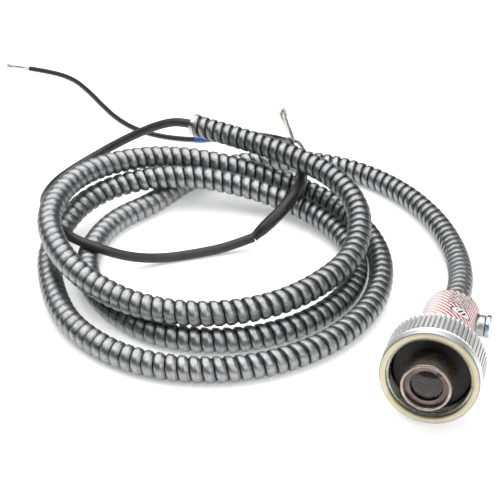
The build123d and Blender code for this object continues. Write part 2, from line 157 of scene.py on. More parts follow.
def lathe(outline, columns=128):
    """A closed surface of revolution about y from closed (y, r) points; a radius of 0 is a pole."""
    shape = bmesh.new()
    rows = []
    for y, r in outline:
        angles = [2 * pi * k / columns for k in range(columns)] if r > 1e-6 else [0.0]
        rows.append([shape.verts.new((r * cos(a), y, r * sin(a))) for a in angles])
    for row, after in zip(rows, rows[1:] + rows[:1]):
        if len(row) == 1 and len(after) == 1:
            continue
        for k in range(columns):
            corners = [row[k % len(row)], row[(k + 1) % len(row)],
                       after[(k + 1) % len(after)], after[k % len(after)]]
            shape.faces.new(list(dict.fromkeys(corners)))
    bmesh.ops.recalc_face_normals(shape, faces=shape.faces)
    mesh = bpy.data.meshes.new("lathe")
    shape.to_mesh(mesh)
    shape.free()
    return mesh


def joined(*meshes):
    """One mesh from several."""
    whole = bmesh.new()
    for mesh in meshes:
        whole.from_mesh(mesh)
    mesh = bpy.data.meshes.new("joined")
    whole.to_mesh(mesh)
    whole.free()
    return mesh


# ---- Geometry Nodes ----
def add(tree, kind, inputs=None, **settings):
    """A node with its settings, and with its inputs set to values or linked to sockets."""
    node = tree.nodes.new(kind)
    for name, value in settings.items():
        setattr(node, name, value)
    for key, value in (inputs or {}).items():
        if isinstance(value, bpy.types.NodeSocket):
            tree.links.new(value, node.inputs[key])
        else:
            node.inputs[key].default_value = value
    return node


def calc(tree, operation, *values):
    """One arithmetic step in a node tree."""
    return add(tree, "ShaderNodeMath", dict(enumerate(values)), operation=operation).outputs[0]


def vector(tree, operation, first, second):
    """One vector step in a node tree; a SCALE takes its factor second."""
    key = "Scale" if operation == "SCALE" else 1
    return add(tree, "ShaderNodeVectorMath", {0: first, key: second}, operation=operation).outputs[0]


def mix(tree, share, first, second):
    """A value between two others."""
    return add(tree, "ShaderNodeMix", {0: share, 2: first, 3: second}, data_type="FLOAT").outputs[0]


def round_profile(tree, corners, radius):
    """A circle to draw along a line."""
    sizes = {"Resolution": corners, "Radius": radius}
    return add(tree, "GeometryNodeCurvePrimitiveCircle", sizes, mode="RADIUS").outputs[0]


def stepped(tree, line, step):
    """The line with its points this far apart."""
    sizes = {"Curve": line, "Length": step}
    return add(tree, "GeometryNodeResampleCurve", sizes, mode="LENGTH").outputs[0]


def out_from_line(tree, tangent, normal, reach, angle):
    """The offset from a line by this reach, at this angle about its tangent from its normal."""
    side = vector(tree, "CROSS_PRODUCT", tangent, normal)
    along_normal = vector(tree, "SCALE", normal, calc(tree, "MULTIPLY", reach, calc(tree, "COSINE", angle)))
    along_side = vector(tree, "SCALE", side, calc(tree, "MULTIPLY", reach, calc(tree, "SINE", angle)))
    return vector(tree, "ADD", along_normal, along_side)


def new_tree(name, sizes):
    """An empty Geometry Nodes tree with these named inputs, given as socket type and default."""
    tree = bpy.data.node_groups.new(name, "GeometryNodeTree")
    tree.interface.new_socket("Geometry", in_out="INPUT", socket_type="NodeSocketGeometry")
    for label, (kind, default) in sizes.items():
        socket = tree.interface.new_socket(label, in_out="INPUT", socket_type="NodeSocket" + kind)
        if default is not None:
            socket.default_value = default
    tree.interface.new_socket("Geometry", in_out="OUTPUT", socket_type="NodeSocketGeometry")
    return tree, add(tree, "NodeGroupInput").outputs


def end_tree(tree, geometry, material):
    """Ends a tree in Realize Instances and Set Material."""
    real = add(tree, "GeometryNodeRealizeInstances", {"Geometry": geometry})
    named = add(tree, "GeometryNodeSetMaterial", {"Geometry": real.outputs[0], "Material": material})
    add(tree, "NodeGroupOutput", {"Geometry": named.outputs[0]})
    return tree


def grown(tree, carrier, **values):
    """The plain mesh that a tree makes from the carrier mesh, with its inputs set by their identifiers."""
    thing = bpy.data.objects.new("carrier", carrier)
    bpy.context.scene.collection.objects.link(thing)
    modifier = thing.modifiers.new(tree.name, "NODES")
    modifier.node_group = tree
    wanted = {name.replace("_", " "): value for name, value in values.items()}
    for item in tree.interface.items_tree:
        if item.item_type == "SOCKET" and item.in_out == "INPUT" and item.name.lower() in wanted:
            modifier[item.identifier] = wanted[item.name.lower()]
    evaluated = thing.evaluated_get(bpy.context.evaluated_depsgraph_get())
    mesh = bpy.data.meshes.new_from_object(evaluated)
    thing.modifiers.remove(modifier)
    bpy.data.objects.remove(thing)
    return mesh


def line_mesh(points):
    """A carrier mesh of one open line."""
    mesh = bpy.data.meshes.new("line")
    mesh.from_pydata(points, [(k, k + 1) for k in range(len(points) - 1)], [])
    return mesh


def route_line(points, finer=16):
    """The points of the smooth line that a route's control points, in mm, make: a NURBS spline in metres."""
    curve = bpy.data.curves.new("route", "CURVE")
    curve.dimensions = "3D"
    curve.resolution_u = finer
    spline = curve.splines.new("NURBS")
    spline.points.add(len(points) - 1)
    for point, place in zip(spline.points, points):
        point.co = (*(value * MM for value in place), 1)
    spline.order_u = 3
    spline.use_endpoint_u = True
    thing = bpy.data.objects.new("route", curve)
    bpy.context.scene.collection.objects.link(thing)
    mesh = bpy.data.meshes.new_from_object(thing.evaluated_get(bpy.context.evaluated_depsgraph_get()))
    bpy.data.objects.remove(thing)
    return [tuple(vertex.co) for vertex in mesh.vertices]


def winding_tree():
    """A strip wound round a line; rows of points climb with the helix, so each ridge and valley is clean."""
    tree, size = new_tree("Wound strip", {
        "Radius": ("Float", 0.007), "Valley": ("Float", 0.0014), "Pitch": ("Float", 0.006),
        "Columns": ("Int", 22), "Rows per pitch": ("Int", 12), "Crown": ("Float", 4.6),
        "Lap": ("Float", 0.25), "Seam": ("Float", 0.34), "Seam at": ("Float", 0.79),
        "Material": ("Material", None)})
    line = add(tree, "GeometryNodeMeshToCurve", {"Mesh": size["Geometry"]}).outputs[0]
    total = add(tree, "GeometryNodeCurveLength", {"Curve": line}).outputs[0]
    step = calc(tree, "DIVIDE", size["Pitch"], size["Rows per pitch"])
    rows = calc(tree, "ADD", calc(tree, "DIVIDE", total, step),
                  calc(tree, "ADD", size["Rows per pitch"], 3.0))
    across = calc(tree, "ADD", size["Columns"], 1.0)
    grid = add(tree, "GeometryNodeMeshGrid", {
        "Size X": 1.0, "Size Y": 1.0, "Vertices X": rows, "Vertices Y": across})
    index = add(tree, "GeometryNodeInputIndex").outputs[0]
    row = calc(tree, "FLOOR", calc(tree, "DIVIDE", calc(tree, "ADD", index, 0.5), across))
    column = calc(tree, "SUBTRACT", index, calc(tree, "MULTIPLY", row, across))
    turn = calc(tree, "DIVIDE", column, size["Columns"])
    along = calc(tree, "SUBTRACT", calc(tree, "MULTIPLY", row, step),
                   calc(tree, "MULTIPLY", calc(tree, "SUBTRACT", 1.0, turn), size["Pitch"]))
    inside = calc(tree, "MULTIPLY", calc(tree, "GREATER_THAN", along, 0.0),
                    calc(tree, "LESS_THAN", along, total))
    phase = calc(tree, "FRACT", calc(tree, "DIVIDE", row, size["Rows per pitch"]))
    off_crown = calc(tree, "ABSOLUTE", calc(tree, "SUBTRACT", calc(tree, "MULTIPLY", phase, 2.0), 1.0))
    seam = calc(tree, "ABSOLUTE", calc(tree, "SUBTRACT", phase, size["Seam at"]))
    seam = calc(tree, "MAXIMUM", 0.0, calc(tree, "SUBTRACT", 1.0, calc(tree, "DIVIDE", seam, 0.09)))
    depth = calc(tree, "ADD", calc(tree, "POWER", off_crown, size["Crown"]),
                   calc(tree, "MULTIPLY", seam, size["Seam"]))
    lapped = calc(tree, "ADD", depth, calc(tree, "MULTIPLY", phase, size["Lap"]))
    radius = calc(tree, "SUBTRACT", size["Radius"], calc(tree, "MULTIPLY", lapped, size["Valley"]))
    radius = calc(tree, "MULTIPLY", radius, inside)
    at = add(tree, "GeometryNodeSampleCurve", {"Curves": line, "Length": along},
             mode="LENGTH", use_all_curves=True)
    angle = calc(tree, "MULTIPLY", turn, 2 * pi)
    offset = out_from_line(tree, at.outputs["Tangent"], at.outputs["Normal"], radius, angle)
    place = vector(tree, "ADD", at.outputs["Position"], offset)
    marked = add(tree, "GeometryNodeStoreNamedAttribute",
                 {"Geometry": grid.outputs[0], "Name": "valley", "Value": depth},
                 data_type="FLOAT", domain="POINT")
    laid = add(tree, "GeometryNodeSetPosition", {"Geometry": marked.outputs[0], "Position": place})
    closed = add(tree, "GeometryNodeMergeByDistance", {"Geometry": laid.outputs[0], "Distance": 1e-6})
    return end_tree(tree, closed.outputs[0], size["Material"])


def sheath_tree():
    """A closed round tube along a line, with a taper at each end and a slight unevenness along it."""
    tree, size = new_tree("Sheath", {
        "Radius": ("Float", 0.0025), "Columns": ("Int", 24), "Step": ("Float", 0.001),
        "Start radius": ("Float", 0.0025), "End radius": ("Float", 0.0025), "Taper": ("Float", 0.004),
        "Ripple": ("Float", 0.0), "Ripple size": ("Float", 0.006), "Material": ("Material", None)})
    line = add(tree, "GeometryNodeMeshToCurve", {"Mesh": size["Geometry"]}).outputs[0]
    even = stepped(tree, line, size["Step"])
    total = add(tree, "GeometryNodeCurveLength", {"Curve": even}).outputs[0]
    done = add(tree, "GeometryNodeSplineParameter").outputs["Length"]
    shares = []
    for distance in (done, calc(tree, "SUBTRACT", total, done)):
        share = add(tree, "ShaderNodeMapRange", {"Value": distance, "From Max": size["Taper"]},
                    interpolation_type="SMOOTHSTEP").outputs[0]
        shares.append(share)
    middle = mix(tree, shares[0], size["Start radius"], size["Radius"])
    radius = mix(tree, shares[1], size["End radius"], middle)
    sized = add(tree, "GeometryNodeSetCurveRadius", {"Curve": even, "Radius": radius})
    circle = round_profile(tree, size["Columns"], 1.0)
    tube = add(tree, "GeometryNodeCurveToMesh", {
        "Curve": sized.outputs[0], "Profile Curve": circle, "Scale": radius, "Fill Caps": True})
    fineness = calc(tree, "DIVIDE", 1.0, size["Ripple size"])
    bumps = add(tree, "ShaderNodeTexNoise", {"Scale": fineness, "Detail": 2.0},
                noise_dimensions="3D").outputs[0]
    swell = calc(tree, "MULTIPLY", calc(tree, "SUBTRACT", bumps, 0.5), size["Ripple"])
    offset = vector(tree, "SCALE", add(tree, "GeometryNodeInputNormal").outputs[0], swell)
    laid = add(tree, "GeometryNodeSetPosition", {"Geometry": tube.outputs[0], "Offset": offset})
    return end_tree(tree, laid.outputs[0], size["Material"])


def strands_tree():
    """Thin wires twisted round a line, which spread and stray towards its far end."""
    tree, size = new_tree("Twisted strands", {
        "Strands": ("Int", 7), "Strand radius": ("Float", 0.0003), "Bundle radius": ("Float", 0.0007),
        "Lay": ("Float", 0.012), "Fray": ("Float", 0.002), "Fray length": ("Float", 0.02),
        "Columns": ("Int", 6), "Step": ("Float", 0.001), "Seed": ("Int", 3), "Material": ("Material", None)})
    line = add(tree, "GeometryNodeMeshToCurve", {"Mesh": size["Geometry"]}).outputs[0]
    even = stepped(tree, line, size["Step"])
    total = add(tree, "GeometryNodeCurveLength", {"Curve": even}).outputs[0]
    copies = add(tree, "GeometryNodeDuplicateElements", {"Geometry": even, "Amount": size["Strands"]},
                 domain="SPLINE")
    number = copies.outputs["Duplicate Index"]
    done = add(tree, "GeometryNodeSplineParameter").outputs["Length"]
    loose = add(tree, "ShaderNodeMapRange", {
        "Value": calc(tree, "SUBTRACT", total, done), "From Min": size["Fray length"], "From Max": 0.0},
        interpolation_type="SMOOTHSTEP").outputs[0]
    stray = add(tree, "FunctionNodeRandomValue", {2: 0.0, 3: 1.0, "ID": number, "Seed": size["Seed"]},
                data_type="FLOAT").outputs[1]
    spread = calc(tree, "MULTIPLY", calc(tree, "MULTIPLY", loose, size["Fray"]), stray)
    angle = calc(tree, "MULTIPLY", 2 * pi, calc(
        tree, "ADD", calc(tree, "DIVIDE", done, size["Lay"]), calc(tree, "DIVIDE", number, size["Strands"])))
    reach = calc(tree, "ADD", size["Bundle radius"], spread)
    normal = add(tree, "GeometryNodeInputNormal").outputs[0]
    tangent = add(tree, "GeometryNodeInputTangent").outputs[0]
    offset = out_from_line(tree, tangent, normal, reach, angle)
    laid = add(tree, "GeometryNodeSetPosition", {"Geometry": copies.outputs["Geometry"], "Offset": offset})
    circle = round_profile(tree, size["Columns"], size["Strand radius"])
    wires = add(tree, "GeometryNodeCurveToMesh", {
        "Curve": laid.outputs[0], "Profile Curve": circle, "Fill Caps": True})
    return end_tree(tree, wires.outputs[0], size["Material"])


def round_axis_tree():
    """Copies of one sector about the y axis, merged into a closed piece."""
    tree, size = new_tree("Sectors round an axis", {
        "Copies": ("Int", 64), "Weld": ("Float", 0.001), "Material": ("Material", None)})
    spot = {"Count": size["Copies"], "Offset": (0.0, 0.0, 0.0)}
    points = add(tree, "GeometryNodeMeshLine", spot).outputs[0]
    index = add(tree, "GeometryNodeInputIndex").outputs[0]
    angle = calc(tree, "DIVIDE", calc(tree, "MULTIPLY", index, -2 * pi), size["Copies"])
    turned = add(tree, "ShaderNodeCombineXYZ", {"Y": angle}).outputs[0]
    copies = add(tree, "GeometryNodeInstanceOnPoints",
                 {"Points": points, "Instance": size["Geometry"], "Rotation": turned}).outputs[0]
    real = add(tree, "GeometryNodeRealizeInstances", {"Geometry": copies}).outputs[0]
    closed = add(tree, "GeometryNodeMergeByDistance", {"Geometry": real, "Distance": size["Weld"]}).outputs[0]
    return end_tree(tree, closed, size["Material"])


def screw_thread_tree():
    """A helical ridge about the y axis, from its pitch, its root and crest radii and its length."""
    tree, size = new_tree("Screw thread", {
        "Pitch": ("Float", 2.3), "Root": ("Float", 20.95), "Crest": ("Float", 19.5),
        "Length": ("Float", 17.0), "Steps per turn": ("Int", 96), "Material": ("Material", None)})
    turns = calc(tree, "DIVIDE", size["Length"], size["Pitch"])
    helix = add(tree, "GeometryNodeCurveSpiral", {
        "Resolution": size["Steps per turn"], "Rotations": turns, "Start Radius": size["Root"],
        "End Radius": size["Root"], "Height": size["Length"]}).outputs[0]
    path = add(tree, "GeometryNodeSetCurveNormal", {"Curve": helix}, mode="Z_UP").outputs[0]
    ridge = round_profile(tree, 8, 1.0)
    section = add(tree, "GeometryNodeInputPosition").outputs[0]
    parts = add(tree, "ShaderNodeSeparateXYZ", {0: section})
    depth = calc(tree, "SUBTRACT", size["Root"], size["Crest"])
    wide = calc(tree, "MULTIPLY", parts.outputs[1], calc(tree, "MULTIPLY", size["Pitch"], 0.46))
    deep = calc(tree, "MULTIPLY", parts.outputs[0], depth)
    corner = add(tree, "ShaderNodeCombineXYZ", {0: deep, 1: wide}).outputs[0]
    shaped = add(tree, "GeometryNodeSetPosition", {"Geometry": ridge, "Position": corner}).outputs[0]
    bar = add(tree, "GeometryNodeCurveToMesh", {
        "Curve": path, "Profile Curve": shaped, "Fill Caps": True}).outputs[0]
    laid = add(tree, "GeometryNodeTransform", {"Geometry": bar, "Rotation": (-pi / 2, 0.0, 0.0)}).outputs[0]
    return end_tree(tree, laid, size["Material"])


# ---- materials ----
def colour(value):
    """An sRGB hex colour as linear red, green, blue and 1; a socket or a linear colour stays as it is."""
    if not isinstance(value, str):
        return value
    parts = [int(value[k:k + 2], 16) / 255 for k in (1, 3, 5)]
    return (*(p / 12.92 if p <= 0.04045 else ((p + 0.055) / 1.055) ** 2.4 for p in parts), 1.0)


def chosen(name):
    """A colour from the panel's settings."""
    return tuple(getattr(bpy.context.scene.probe_colours, name))


def new_material(name, base, metallic=0.0, roughness=0.5, **more):
    """A material with its shader, and the object's own coordinates in metres."""
    material = bpy.data.materials.new(name)
    material.use_nodes = True
    tree = material.node_tree
    shader = tree.nodes["Principled BSDF"]
    shader.inputs["Base Color"].default_value = colour(base)
    shader.inputs["Metallic"].default_value = metallic
    shader.inputs["Roughness"].default_value = roughness
    for label, value in more.items():
        shader.inputs[label.replace("_", " ")].default_value = value
    place = add(tree, "ShaderNodeTexCoord").outputs["Object"]
    return material, tree, shader, place


def noise(tree, place, size_mm, detail=3.0, stretch=(1, 1, 1)):
    """Noise with features of about this size, from 0 to 1; stretch draws it out along an axis."""
    scaled = add(tree, "ShaderNodeMapping", {"Vector": place, "Scale": stretch}).outputs[0]
    return add(tree, "ShaderNodeTexNoise", {
        "Vector": scaled, "Scale": 1 / (size_mm * MM), "Detail": detail, "Roughness": 0.55}).outputs[0]


def between(tree, value, low, high, to_low=0.0, to_high=1.0):
    return add(tree, "ShaderNodeMapRange", {
        "Value": value, "From Min": low, "From Max": high, "To Min": to_low, "To Max": to_high}).outputs[0]


def blend_colours(tree, factor, first, second):
    """A mix of two colours, each a hex value or a socket."""
    ends = {0: factor, 6: colour(first), 7: colour(second)}
    return add(tree, "ShaderNodeMix", ends, data_type="RGBA").outputs[2]


def bump(tree, shader, height, depth_mm):
    """Relief of this depth on the shader."""
    node = add(tree, "ShaderNodeBump", {"Height": height, "Distance": depth_mm * MM, "Strength": 1.0})
    tree.links.new(node.outputs[0], shader.inputs["Normal"])


def galvanised_strip():
    """Galvanised steel strip, cold rolled and wound: grey spangle, with painted shade darkening the valleys
    between the ridges.
    """
    material, tree, shader, place = new_material("Galvanised steel strip", "#a4a7a8", 1.0, 0.42)
    valley = add(tree, "ShaderNodeAttribute", attribute_name="valley").outputs["Fac"]
    spangle = noise(tree, place, 1.6, 4.0)
    steel = blend_colours(tree, between(tree, spangle, 0.35, 0.65), "#8b8e8e", chosen("strip"))
    # painted shade: the steel turns near black in the valleys between the ridges and in the seam groove, where
    # shade falls
    painted_shade = blend_colours(tree, between(tree, valley, 0.12, 0.8), steel, "#151515")
    tree.links.new(painted_shade, shader.inputs["Base Color"])
    rough = between(tree, noise(tree, place, 1.2), 0.3, 0.7, 0.34, 0.48)
    tree.links.new(rough, shader.inputs["Roughness"])
    bump(tree, shader, noise(tree, place, 0.8), 0.03)
    return material


def plated_collar():
    """Turned steel with zinc plate and a yellow passivate, straw tinted on its flat faces."""
    material, tree, shader, place = new_material("Yellow passivated zinc", "#cfcbb6", 1.0, 0.28)
    cloud = between(tree, noise(tree, place, 9.0, 3.0), 0.35, 0.65)
    silver = blend_colours(tree, cloud, "#f0f0f2", chosen("collar"))
    straw = blend_colours(tree, cloud, "#c9c3a0", "#d6ccb6")
    face = add(tree, "ShaderNodeAttribute", attribute_name="face").outputs["Fac"]
    slot = add(tree, "ShaderNodeAttribute", attribute_name="slot").outputs["Fac"]
    tint = blend_colours(tree, face, silver, straw)
    # painted shade: the plating turns grey in the flute bottoms and on the rounded front edge, where the slot
    # attribute is set
    tint = blend_colours(tree, slot, tint, "#99999c")
    tree.links.new(tint, shader.inputs["Base Color"])
    rough = between(tree, noise(tree, place, 1.5), 0.3, 0.7, 0.42, 0.55)
    tree.links.new(rough, shader.inputs["Roughness"])
    bump(tree, shader, noise(tree, place, 0.5), 0.01)
    return material


def turned_metal(name, dark, light, roughness, grain_mm=0.4):
    """Turned metal: the tint drifts over it and the tool leaves fine marks."""
    material, tree, shader, place = new_material(name, light, 1.0, roughness)
    tint = blend_colours(tree, between(tree, noise(tree, place, 7.0), 0.35, 0.65), dark, light)
    tree.links.new(tint, shader.inputs["Base Color"])
    rough = between(tree, noise(tree, place, 1.0), 0.3, 0.7, roughness * 0.8, roughness * 1.3)
    tree.links.new(rough, shader.inputs["Roughness"])
    bump(tree, shader, noise(tree, place, grain_mm), 0.003)
    return material


def moulded(name, dark, light, roughness, relief_mm=0.02, grain_mm=0.6):
    """Moulded or extruded plastic and rubber: a fine matt grain and slight scuffs."""
    material, tree, shader, place = new_material(name, light, 0.0, roughness)
    tint = blend_colours(tree, between(tree, noise(tree, place, 5.0), 0.3, 0.7), dark, light)
    tree.links.new(tint, shader.inputs["Base Color"])
    rough = between(tree, noise(tree, place, 2.0), 0.3, 0.7, roughness * 0.85, roughness * 1.2)
    tree.links.new(rough, shader.inputs["Roughness"])
    bump(tree, shader, noise(tree, place, grain_mm), relief_mm)
    return material


def lens_glass():
    """Polished borosilicate glass with a faint grey tint."""
    return new_material("Borosilicate glass", "#c6bab4", 0.0, 0.02, Transmission_Weight=1.0, IOR=1.47)[0]


def label_film():
    """Printed polyester film: red hatching on white, an oval mark and rows of small grey dashes."""
    material, tree, shader, _ = new_material("Printed label film", "#f1eeec", 0.0, 0.38)
    film = add(tree, "ShaderNodeUVMap", uv_map="label").outputs[0]
    parts = add(tree, "ShaderNodeSeparateXYZ", {0: film})
    round_mm, along_mm = parts.outputs[0], parts.outputs[1]

    def stripe(value, spacing, share):
        phase = calc(tree, "FRACT", calc(tree, "DIVIDE", value, spacing))
        return calc(tree, "LESS_THAN", phase, share)

    diagonal = calc(tree, "SUBTRACT", along_mm, round_mm)
    hatch = stripe(diagonal, 2.2 * sqrt(2), 0.5)
    # painted highlight: towards its upper left side, which faces the overhead lamp, the hatch fades and the film
    # turns whiter
    painted_highlight_share = between(tree, round_mm, 22.0, 30.0)
    hatch_under_painted_highlight = between(tree, round_mm, 16.0, 25.0, 1.0, 0.25)
    red = blend_colours(tree, calc(tree, "MULTIPLY", hatch, hatch_under_painted_highlight), "#e6dfdd", chosen("hatch"))

    # an oval with a black edge and two slanted bars in it
    across = calc(tree, "DIVIDE", calc(tree, "SUBTRACT", round_mm, 9.9), 5.85)
    up = calc(tree, "DIVIDE", calc(tree, "SUBTRACT", along_mm, 22.6), 4.25)
    radius = calc(tree, "SQRT", calc(
        tree, "ADD", calc(tree, "MULTIPLY", across, across), calc(tree, "MULTIPLY", up, up)))
    inside = calc(tree, "LESS_THAN", radius, 1.0)
    edge = calc(tree, "GREATER_THAN", radius, 0.86)
    slanted = calc(tree, "ADD", calc(tree, "MULTIPLY", across, 1.0), calc(tree, "MULTIPLY", up, 0.35))
    bars = calc(tree, "MULTIPLY", stripe(slanted, 0.42, 0.5), calc(tree, "LESS_THAN", radius, 0.5))
    mark = blend_colours(tree, calc(tree, "MAXIMUM", edge, bars), "#ded9d8", "#141110")
    body = blend_colours(tree, inside, red, mark)

    # rows of print behind the oval
    row = stripe(along_mm, 1.8, 0.55)
    words = add(tree, "ShaderNodeTexNoise", {
        "Vector": add(tree, "ShaderNodeCombineXYZ", {
            0: round_mm, 1: calc(tree, "FLOOR", calc(tree, "DIVIDE", along_mm, 1.8))}).outputs[0],
        "Scale": 1.6, "Detail": 1.0}).outputs[0]
    print_zone = calc(tree, "MULTIPLY", calc(tree, "MULTIPLY", calc(tree, "GREATER_THAN", along_mm, 29.0),
                                                 calc(tree, "LESS_THAN", along_mm, 41.4)),
                        calc(tree, "MULTIPLY", calc(tree, "GREATER_THAN", round_mm, 6.7),
                               calc(tree, "LESS_THAN", round_mm, 18.0)))
    letters = calc(tree, "MULTIPLY", calc(tree, "MULTIPLY", row, calc(tree, "GREATER_THAN", words, 0.47)),
                     print_zone)
    paper = blend_colours(tree, calc(tree, "MULTIPLY", print_zone, 0.75), body, "#cfc6c5")
    printed = blend_colours(tree, letters, paper, "#4d4848")
    # painted highlight: the lit side of the label is lightened towards white
    label_with_painted_highlight = blend_colours(tree, calc(tree, "MULTIPLY", painted_highlight_share, 0.45), printed, "#f4f2f1")
    tree.links.new(label_with_painted_highlight, shader.inputs["Base Color"])
    return material


def studio_floor():
    """Seamless white paper."""
    material, tree, shader, place = new_material(
        "White backdrop paper", "#f7f7f7", 0.0, 0.9, Emission_Strength=0.3)
    shader.inputs["Emission Color"].default_value = colour("#ffffff")
    tint = blend_colours(tree, noise(tree, place, 2.0), "#f5f5f5", "#f9f9f9")
    tree.links.new(tint, shader.inputs["Base Color"])
    return material


# the finish of every material slot: metals give a dark tint, a light tint and a roughness, and so do plastics
FINISHES = {
    "galvanised_strip": galvanised_strip,
    "plated_collar": plated_collar,
    "thread_metal": lambda: turned_metal("Oily zinc thread", "#8b9387", "#b4baae", 0.28),
    "nose_metal": lambda: turned_metal("Brown conversion coated aluminium", "#938780", "#bcaea6", 0.3),
    "ring_metal": lambda: turned_metal("Spring steel snap ring", "#5f5550", "#7d726c", 0.3),
    # dark finish of its own, made darker still as painted shade for the recess behind the nose
    "flange_metal": lambda: turned_metal("Dark coated flange", "#231c19", "#4a3e38", 0.25),
    "housing_metal": lambda: turned_metal("Satin turned aluminium", "#a9a8a6", "#c9c8c6", 0.38),
    "brass": lambda: turned_metal("Turned brass", "#a9863d", "#c9a455", 0.3),
    "spring_steel": lambda: turned_metal("Plated spring steel", "#8b8b8b", "#aeaeae", 0.3),
    "cell_can": lambda: turned_metal("Drawn steel can", "#a5a5a7", "#c4c4c6", 0.2),
    "gold_pins": lambda: turned_metal("Gold flashed pin", "#b8923f", "#dcb860", 0.25),
    "blue_zinc": lambda: turned_metal("Blue bright zinc", "#a3b8c4", chosen("screw"), 0.22),
    "bright_zinc": lambda: turned_metal("Bright zinc", "#b9babb", "#d8d8d8", 0.25),
    "tinned_copper": lambda: turned_metal("Tinned copper", "#9b9992", "#bab8b1", 0.4),
    "blackened_metal": lambda: moulded("Matt black paint", "#0c0c0c", "#141414", 0.7),
    "black_rubber": lambda: moulded("Nitrile rubber", "#131313", "#1e1e1e", 0.6),
    "phenolic": lambda: moulded("Moulded phenolic", "#2c1a10", "#3d2618", 0.45),
    # black fibre of its own, made darker still as painted shade for the recess behind the nose
    "gasket_fibre": lambda: moulded("Pressed fibre gasket", "#0d0806", "#1d140f", 0.55, 0.02),
    "socket_ceramic": lambda: moulded("Steatite socket", "#cfcabf", "#ded9cf", 0.5),
    "cable_jacket": lambda: moulded("Extruded vinyl jacket", "#1f1a19", "#2d2726", 0.45, 0.02, 1.2),
    "black_jacket": lambda: moulded("Black vinyl insulation", "#0d0b0b", "#171413", 0.45, 0.015, 1.0),
    "heat_shrink": lambda: moulded("Heat shrink tube", "#0a0909", "#131111", 0.42, 0.04, 1.6),
    "red_nylon": lambda: moulded("Red nylon", "#7a1712", "#93231c", 0.45),
    "blue_marker": lambda: moulded("Blue vinyl marker", "#0d3d8a", chosen("marker"), 0.4),
    "cream_insulation": lambda: moulded("Polyethylene core insulation", "#cfc7b2", "#e2dcc9", 0.45),
    "lens_glass": lens_glass,
    "label_film": label_film,
    "studio_floor": studio_floor,
}
MADE = {}


def finish_of(slot):
    if slot not in MADE:
        MADE[slot] = FINISHES[slot]()
    return MADE[slot]


def settle(piece, slot, *nodes, body="root"):
    """Rides the piece on its body and hides the solids that it stands for; its slot is not used."""
    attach(piece, body)
    if nodes:
        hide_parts(*nodes)
    return piece


# ---- operators ----
def length_property(name, description, value):
    """A length in metres with this default."""
    return bpy.props.FloatProperty(name=name, description=description, default=value, unit="LENGTH")


def colour_property(name, description, value):
    """A colour with this default."""
    return bpy.props.FloatVectorProperty(
        name=name, description=description, default=colour(value), size=4, min=0.0, max=1.0, subtype="COLOR")


class StageSettings(bpy.types.PropertyGroup):
    """The floor, the lamps and the camera."""
    lens: bpy.props.FloatProperty(name="Lens", description="Focal length", default=103.2, unit="CAMERA")
    camera_at: bpy.props.FloatVectorProperty(
        name="Camera", description="Where the camera stands", default=(0.0742, -0.5911, 0.420), unit="LENGTH")
    key_power: bpy.props.FloatProperty(
        name="Key lamp", description="Power of the overhead lamp", default=34.0, unit="POWER")
    sky: bpy.props.FloatProperty(name="Sky", description="Strength of the light from above", default=1.5)


class ConduitSettings(bpy.types.PropertyGroup):
    """The wound steel conduit."""
    diameter: length_property("Diameter", "Outside diameter", 0.014)
    pitch: length_property("Pitch", "Length of one turn of the strip", 0.006)
    valley: length_property("Valley", "Depth between two ridges", 0.0016)
    length: length_property("Length", "Length of the conduit", 2.0)


class LeadSettings(bpy.types.PropertyGroup):
    """The cable and the leads past the conduit's end."""
    cable: length_property("Cable", "Diameter of the signal cable", 0.0056)
    sleeve: length_property("Sleeve", "Diameter of the heat shrink", 0.0074)
    wire: length_property("Wire", "Diameter of the lead wire", 0.0032)
    pigtail: length_property("Pigtail", "Diameter of the twisted shield", 0.0022)


class HeadSettings(bpy.types.PropertyGroup):
    """The sensor head."""
    teeth: bpy.props.IntProperty(name="Flutes", description="Flutes round the coupling collar", default=64)
    flute: bpy.props.FloatProperty(name="Flute depth", description="Depth of a flute in mm", default=0.65)
    slot_width: bpy.props.FloatProperty(
        name="Screw slot", description="Width of the screw's slot in mm", default=1.3)


class ColourSettings(bpy.types.PropertyGroup):
    """The colours of the pieces that a maker would change."""
    strip: colour_property("Conduit strip", "Bright side of the conduit's steel", "#a6a8a8")
    collar: colour_property("Collar", "Bright side of the collar's plating", "#f7f6f2")
    screw: colour_property("Clamp screw", "Bright side of the clamp screw's plating", "#cfe0e8")
    hatch: colour_property("Label hatch", "Stripes on the label", "#a3262c")
    marker: colour_property("Wire marker", "Sleeve on the lead wire", "#1b55ad")


